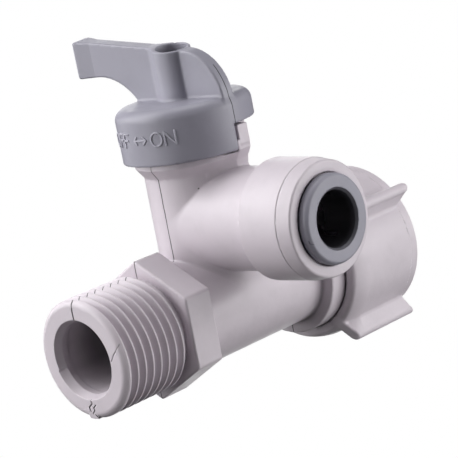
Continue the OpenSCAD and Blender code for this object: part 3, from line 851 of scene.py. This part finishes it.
def parting_line(tree, across, half, drift, gaps):
    """A fine wandering line where across is 0, the mark between two mould halves."""
    sway = compute(tree, "MULTIPLY", compute(tree, "SUBTRACT", noise(tree, 330, 3), 0.5), drift * MM)
    off = compute(tree, "ABSOLUTE", compute(tree, "ADD", across, sway))
    breaks = ramp(tree, noise(tree, 210, 2), [(gaps, (0,) * 3), (gaps + 0.12, (1,) * 3)])
    return compute(tree, "MULTIPLY", falling(tree, off, half * 0.4, half), breaks)


def scratch(tree, across, up, points, half):
    """A dark stroke through points, which are across and up in millimetres."""
    near = FAR * MM
    for (a, b), (c, e) in zip(points, points[1:]):
        span = ((c - a) ** 2 + (e - b) ** 2) * MM
        s = compute(tree, "SUBTRACT", across, a * MM)
        v = compute(tree, "SUBTRACT", up, b * MM)
        t = compute(tree, "ADD", compute(tree, "MULTIPLY", s, (c - a) / span),
                    compute(tree, "MULTIPLY", v, (e - b) / span))
        t = compute(tree, "MINIMUM", compute(tree, "MAXIMUM", t, 0.0), 1.0)
        s = compute(tree, "SUBTRACT", s, compute(tree, "MULTIPLY", t, (c - a) * MM))
        v = compute(tree, "SUBTRACT", v, compute(tree, "MULTIPLY", t, (e - b) * MM))
        near = compute(tree, "MINIMUM", near, distance(tree, s, v))
    return falling(tree, near, half * 0.4, half)


def spot(tree, at, radius):
    """A round mark about a point in millimetres."""
    parts = [compute(tree, "SUBTRACT", p, a * MM) for p, a in zip(place(tree), at)]
    return falling(tree, distance(tree, *parts), radius * 0.5, radius)


def moulded_plastic(name, colour, rough, scatter=0.0, marks=None):
    """Semi-gloss moulded plastic: faint flow clouds, a soft skin ripple, fine grain
    and, where marks gives them, the dark lines and pits that the mould has left and painted shade inside
    bores."""
    material, tree, shader = nodes_of(name)
    low = tuple(c * 0.955 for c in colour)
    high = tuple(min(c * 1.02, 1) for c in colour)
    tone = ramp(tree, noise(tree, 190, 4, 0.6), [(0.3, low), (0.5, colour), (0.72, high)])
    relief = bump(tree, noise(tree, 2600, 3, 0.6), 0.01 * MM)
    relief = bump(tree, noise(tree, 380, 2, 0.4), 0.04 * MM, relief)
    if marks:
        marks_and_shade = marks(tree)
        # One dark tone for the mould's lines and pits and for the painted shade inside bores
        mix = tree.nodes.new("ShaderNodeMix")
        mix.data_type = "RGBA"
        tree.links.new(marks_and_shade, mix.inputs["Factor"])
        tree.links.new(tone, mix.inputs["A"])
        mix.inputs["B"].default_value = (*(c * 0.12 for c in colour), 1)
        tone = mix.outputs["Result"]
        relief = bump(tree, marks_and_shade, -0.06 * MM, relief)
    tree.links.new(tone, shader.inputs["Base Color"])
    smooth, dull = (rough - 0.05,) * 3, (rough + 0.07,) * 3
    gloss = ramp(tree, noise(tree, 420, 3, 0.55), [(0.3, smooth), (0.7, dull)])
    tree.links.new(gloss, shader.inputs["Roughness"])
    tree.links.new(relief, shader.inputs["Normal"])
    shader.inputs["IOR"].default_value = 1.48
    if scatter:
        shader.inputs["Subsurface Weight"].default_value = scatter
        shader.inputs["Subsurface Radius"].default_value = (1.0, 0.9, 0.85)
        shader.inputs["Subsurface Scale"].default_value = 0.9 * MM
    return material


def face_marks(tree, x, y, z):
    """The strokes on the thread's face."""
    marks = scratch(tree, y, z, SPLIT_MARK, half=0.17)
    for points in GATE_MARKS:
        marks = compute(tree, "MAXIMUM", marks, scratch(tree, y, z, points, half=0.15))
    chip = compute(tree, "MULTIPLY", scratch(tree, y, z, CHIP_MARK, half=0.12), 0.6)
    marks = compute(tree, "MAXIMUM", marks, chip)
    return compute(tree, "MULTIPLY", marks, falling(tree, x, THREAD_FACE + 0.4, THREAD_FACE + 0.6))


def run_shade(tree, off, x, z):
    """Painted shade on the inside of the run's bore, deeper in from the face and weaker towards the bottom.
    """
    inside = falling(tree, off, BORE_R + 0.05, BORE_R + 0.15)
    deep = compute(tree, "SUBTRACT", 1.0, falling(tree, x, THREAD_FACE + 1, THREAD_FACE + 9))
    high = compute(tree, "SUBTRACT", 0.8, compute(tree, "MULTIPLY", falling(tree, z, -6.2, -2.5), 0.62))
    return compute(tree, "MULTIPLY", compute(tree, "MULTIPLY", inside, deep), high)


def body_marks_and_shade(tree):
    """The line between the body's mould halves, all round its X-Z plane, a pit, the
    strokes on the face and painted shade inside the bore."""
    x, y, z = place(tree)
    off = distance(tree, y, z)
    line = parting_line(tree, y, half=0.15, drift=0.35, gaps=0.33)
    line = compute(tree, "MULTIPLY", line, compute(tree, "GREATER_THAN", off, MOUTH_R * MM))
    line = compute(tree, "MULTIPLY", line, compute(tree, "GREATER_THAN", x, (THREAD_FACE + 0.1) * MM))
    marks = compute(tree, "MAXIMUM", line, face_marks(tree, x, y, z))
    # Painted shade inside the run's bore, darker deeper in and lighter towards the bottom
    marks = compute(tree, "MAXIMUM", marks, run_shade(tree, off, x, z))
    return compute(tree, "MAXIMUM", marks, spot(tree, PIT, PIT_R))


def handle_marks(tree):
    """The line down the fin's edge and the skirt below it."""
    x, y, _ = place(tree)
    line = parting_line(tree, x, half=0.12, drift=0.3, gaps=0.3)
    return compute(tree, "MULTIPLY", line, compute(tree, "LESS_THAN", y, -9.5 * MM))


def collet_tick_and_bore_shade(tree):
    """Painted shade inside the collet's bore, weaker at the mouth, and the tick on its rim."""
    x, y, z = place(tree)
    up = compute(tree, "SUBTRACT", z, BRANCH_Z * MM)
    off = distance(tree, x, up)
    # Painted shade inside the bore, lighter near the mouth and darker deeper in
    inside = falling(tree, off, TUBE_R + COLLET_MOUTH - 0.1, TUBE_R + COLLET_MOUTH)
    depth = compute(tree, "SUBTRACT", 0.97, compute(tree, "MULTIPLY", falling(tree, y, -31.0, -29.8), 0.25))
    inside = compute(tree, "MULTIPLY", inside, depth)
    tick = compute(tree, "MULTIPLY", scratch(tree, x, up, COLLET_TICK, half=0.07), 0.6)
    return compute(tree, "MAXIMUM", inside, tick)


def rubber(name):
    """Black rubber with a fine grain."""
    material, tree, shader = nodes_of(name)
    tone = ramp(tree, noise(tree, 900, 3), [(0.3, RUBBER_DARK), (0.7, RUBBER_LIGHT)])
    tree.links.new(tone, shader.inputs["Base Color"])
    tree.links.new(bump(tree, noise(tree, 4000, 2), 0.01 * MM), shader.inputs["Normal"])
    shader.inputs["Roughness"].default_value = 0.55
    return material


def steel(name):
    """Bright steel with slightly uneven tone."""
    material, tree, shader = nodes_of(name)
    tone = ramp(tree, noise(tree, 700, 4), [(0.3, STEEL_DARK), (0.7, STEEL_LIGHT)])
    tree.links.new(tone, shader.inputs["Base Color"])
    tree.links.new(bump(tree, noise(tree, 5000, 2), 0.006 * MM), shader.inputs["Normal"])
    shader.inputs["Metallic"].default_value = 1.0
    shader.inputs["Roughness"].default_value = 0.32
    return material


# Pieces


def dress(obj, body, material, slot, *nodes):
    """Gives a piece its material and body, and hides the CAD nodes it replaces. The slot is not used."""
    obj.data.materials.append(material)
    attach(obj, body)
    if nodes:
        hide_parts(*nodes)


def paint_inner(looks):
    """Gives the CAD pieces that stay as they are their materials."""
    for node, look in looks.items():
        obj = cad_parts[node]
        obj.data.materials.clear()
        obj.data.materials.append(look)


# Stage


def camera():
    """The camera of the photograph."""
    cam = bpy.data.cameras.new("camera")
    cam.sensor_width = SENSOR
    cam.lens = LENS
    obj = bpy.data.objects.new("camera", cam)
    obj.location = Vector(CAMERA_AT) * MM
    obj.rotation_euler = [math.radians(turn) for turn in CAMERA_TURNS]
    bpy.context.scene.collection.objects.link(obj)
    bpy.context.scene.camera = obj


def soft_box(name, azimuth, elevation, power, size=200.0):
    """A square soft box on a ball of LIGHT_R about the part, facing its middle."""
    light = bpy.data.lights.new(name, "AREA")
    light.shape = "RECTANGLE"
    light.size = light.size_y = size * MM
    light.energy = power
    a, e = math.radians(azimuth), math.radians(elevation)
    out = Vector((math.cos(a) * math.cos(e), math.sin(a) * math.cos(e), math.sin(e)))
    obj = bpy.data.objects.new(name, light)
    obj.location = (out * LIGHT_R + Vector(PART_MIDDLE)) * MM
    obj.rotation_euler = (-out).to_track_quat("-Z", "Y").to_euler()
    bpy.context.scene.collection.objects.link(obj)


def studio():
    """Soft boxes to the left, to the right and above, and weak ones behind and below."""
    soft_box("left_front", 180, 5, 0.25)
    soft_box("left_middle", 154, 5, 0.33)
    soft_box("left_high", 150, 30, 0.66)
    soft_box("left_top", 135, 55, 0.55)
    soft_box("behind_high", 120, 30, 0.46)
    soft_box("behind_middle", 128, 5, 0.15)
    soft_box("behind_left", 103, 5, 0.2)
    soft_box("above", 0, 80, 0.42)
    soft_box("right_main", 308, 5, 0.67)
    soft_box("right_front", 283, 5, 0.2)
    soft_box("right_high", 300, 30, 0.16)
    soft_box("right_top", 315, 55, 0.13)
    soft_box("right_low", 288, -25, 0.3)
    soft_box("right_under", 324, -25, 0.19)
    soft_box("behind_top", 90, 55, 0.15)
    soft_box("behind_right", 340, 20, 0.12)
    soft_box("behind_fill", 50, 15, 0.25)
    soft_box("behind_low", 40, -25, 0.2)


def backdrop():
    """A white world, seen by the camera and giving the part little light, and a
    white floor below the part, which is clear from underneath."""
    world = bpy.data.worlds.new("world")
    world.use_nodes = True
    tree = world.node_tree
    weak = tree.nodes["Background"]
    weak.inputs["Color"].default_value = (1, 1, 1, 1)
    weak.inputs["Strength"].default_value = 0.03
    plain = tree.nodes.new("ShaderNodeBackground")
    path = tree.nodes.new("ShaderNodeLightPath")
    mix = tree.nodes.new("ShaderNodeMixShader")
    tree.links.new(path.outputs["Is Camera Ray"], mix.inputs["Fac"])
    tree.links.new(weak.outputs["Background"], mix.inputs[1])
    tree.links.new(plain.outputs["Background"], mix.inputs[2])
    plain.inputs["Color"].default_value = (1, 1, 1, 1)
    tree.links.new(mix.outputs["Shader"], tree.nodes["World Output"].inputs["Surface"])
    bpy.context.scene.world = world
    bpy.context.scene.view_settings.view_transform = "Standard"
    half = FLOOR_HALF
    floor = new_mesh("floor", [(-half, -half, FLOOR_Z), (half, -half, FLOOR_Z),
                               (half, half, FLOOR_Z), (-half, half, FLOOR_Z)], [(0, 1, 2, 3)])
    floor.data.materials.append(floor_paint())
    floor.visible_diffuse = floor.visible_glossy = floor.visible_transmission = floor.visible_shadow = False


def floor_paint():
    """White light from above, nothing from below."""
    material, tree, _ = nodes_of("floor_paint")
    glow = tree.nodes.new("ShaderNodeEmission")
    glow.inputs["Color"].default_value = (1, 1, 1, 1)
    clear = tree.nodes.new("ShaderNodeBsdfTransparent")
    side = tree.nodes.new("ShaderNodeNewGeometry")
    mix = tree.nodes.new("ShaderNodeMixShader")
    tree.links.new(side.outputs["Backfacing"], mix.inputs["Fac"])
    tree.links.new(glow.outputs["Emission"], mix.inputs[1])
    tree.links.new(clear.outputs["BSDF"], mix.inputs[2])
    tree.links.new(mix.outputs["Shader"], tree.nodes["Material Output"].inputs["Surface"])
    return material


def build():
    """Makes, dresses and paints every piece."""
    white = moulded_plastic("white_plastic", WHITE, rough=0.37, scatter=0.05)
    cast = moulded_plastic("body_plastic", WHITE, rough=0.37, scatter=0.05, marks=body_marks_and_shade)
    grey = moulded_plastic("grey_plastic", GREY, rough=0.4, marks=collet_tick_and_bore_shade)
    handle_grey = moulded_plastic("handle_plastic", GREY, rough=0.4, marks=handle_marks)
    # The letters get the lighter grey, a painted highlight
    sign_highlight_grey = moulded_plastic("sign_plastic_painted_highlight", SIGN_HIGHLIGHT_GREY, rough=0.4)
    black, bright = rubber("black_rubber"), steel("bright_steel")

    body = shape("valve_body_skin", valve_body_field, BODY_BOX, BODY_CELL)
    dress(body, "body", cast, "body_white", "valve_body")
    dress(threaded_end("male_thread"), "body", cast, "body_white")
    nut = shape("swivel_nut_skin", nut_field, NUT_BOX, NUT_CELL)
    dress(nut, "nut", white, "nut_white", "swivel_nut")
    dress(inlet_thread("inlet_thread"), "nut", white, "nut_white")
    cap = shape("socket_cap_skin", cap_field, CAP_BOX, CAP_CELL)
    dress(cap, "body", white, "cap_white", "socket_cap")
    collet = shape("tube_collet_skin", collet_field, COLLET_BOX, COLLET_CELL)
    dress(collet, "collet", grey, "collet_grey", "tube_collet")
    handle = shape("handle_skin", handle_field, HANDLE_BOX, HANDLE_CELL)
    dress(handle, "lever", handle_grey, "handle_grey", "handle")
    signs = shape("skirt_signs", signs_field, SIGNS_BOX, SIGNS_CELL)
    dress(signs, "lever", sign_highlight_grey, "handle_grey")
    paint_inner({
        "nut_retaining_ring": bright, "inlet_seal": black, "handle_screw": bright, "spindle": white,
        "spindle_o_ring_upper": black, "spindle_o_ring_lower": black, "port_seat": black,
        "bonnet_ring": white, "thrust_washer": black, "grab_ring": bright, "tube_spacer": white,
        "tube_o_ring": black})


build()
camera()
backdrop()
studio()
